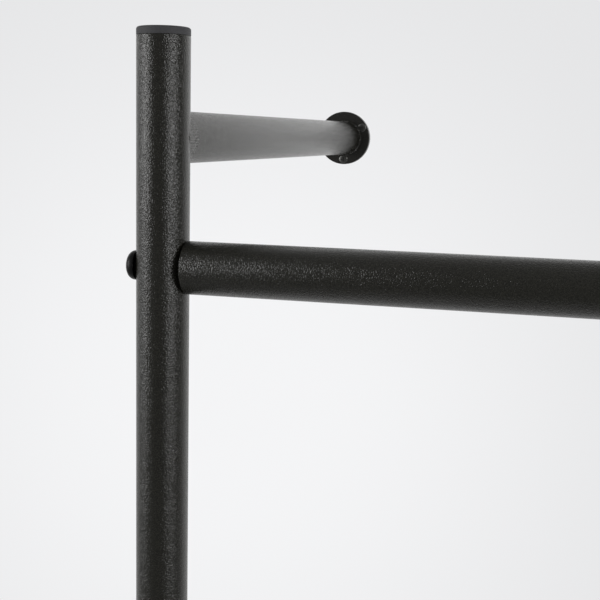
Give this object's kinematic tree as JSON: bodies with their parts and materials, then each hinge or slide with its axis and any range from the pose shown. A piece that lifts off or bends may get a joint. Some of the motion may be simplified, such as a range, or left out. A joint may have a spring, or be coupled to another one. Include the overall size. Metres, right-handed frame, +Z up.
{
  "type": "towel warmer rack",
  "caption": "Wall-hung electric towel warmer of round black tube, with bolted rails, wall arms ending in round plates, and a dial control under one post.",
  "frame": {"origin": "on the wall plane, at the centre of the four wall rosettes", "axes": "+X along the rails to the right as seen from the room, +Y into the wall, +Z up"},
  "size_m": [0.549, 0.4104, 1.207],
  "materials": {
    "powder_coat": "fine-textured black powder coat, satin",
    "enamel": "gloss black",
    "black_steel": "gloss black plated steel",
    "cap_plastic": "moulded dark grey, satin",
    "plug_nylon": "black nylon",
    "stainless": "satin",
    "ceramic": "unglazed steatite",
    "silicone": "matte",
    "housing_plastic": "fine spark-eroded texture",
    "zinc": "bright zinc",
    "board": "solder mask, satin",
    "relay_case": "gloss",
    "terminal_green": "gloss",
    "brass": "turned",
    "knob_plastic": "satin",
    "switch_plastic": "gloss",
    "lens": "clear amber, gloss"
  },
  "bodies": {
    "rack": {"left_post": "powder_coat", "right_post": "powder_coat", "cap_upper_left": "cap_plastic", "cap_upper_right": "cap_plastic", "cap_lower_left": "cap_plastic", "rail_top": "powder_coat", "rail_upper": "powder_coat", "rail_middle": "powder_coat", "rail_lower": "powder_coat", "rail_bottom": "powder_coat", "left_rail_plugs": "plug_nylon", "right_rail_plugs": "plug_nylon", "left_rail_bolts": "black_steel", "hollow_rail_bolts": "black_steel", "arm_upper_left": "powder_coat", "arm_upper_right": "powder_coat", "arm_lower_left": "powder_coat", "arm_lower_right": "powder_coat", "rosette_upper_left": "enamel", "rosette_upper_right": "enamel", "rosette_lower_left": "enamel", "rosette_lower_right": "enamel", "element_top": "stainless", "element_upper": "stainless", "element_middle": "stainless", "element_lower": "stainless", "element_bottom": "stainless", "element_bushes": "ceramic", "wiring_loom": "silicone", "control_body": "housing_plastic", "control_cover": "housing_plastic", "control_seal": "silicone", "control_screws": "zinc", "control_post_screw": "black_steel", "circuit_board": "board", "board_screws": "zinc", "power_relay": "relay_case", "terminal_block": "terminal_green", "thermal_cutout": "zinc", "thermostat_pot": "zinc", "switch_frame": "switch_plastic", "indicator_lens": "lens", "cable_gland": "housing_plastic", "gland_lock_nut": "housing_plastic", "gland_cap_nut": "housing_plastic", "gland_seal": "silicone"},
    "thermostat": {"thermostat_knob": "knob_plastic", "thermostat_shaft": "brass"},
    "rocker": {"power_rocker": "switch_plastic"}
  },
  "joints": [
    {"name": "thermostat_turn", "type": "hinge", "parent": "rack", "child": "thermostat", "pos_m": [0.25, -0.395, -0.576], "axis": [0, -1, 0], "range_deg": [-135, 135]},
    {"name": "rocker_tilt", "type": "hinge", "parent": "rack", "child": "rocker", "pos_m": [0.25, -0.393, -0.614], "axis": [1, 0, 0], "range_deg": [-18, 0]}
  ]
}
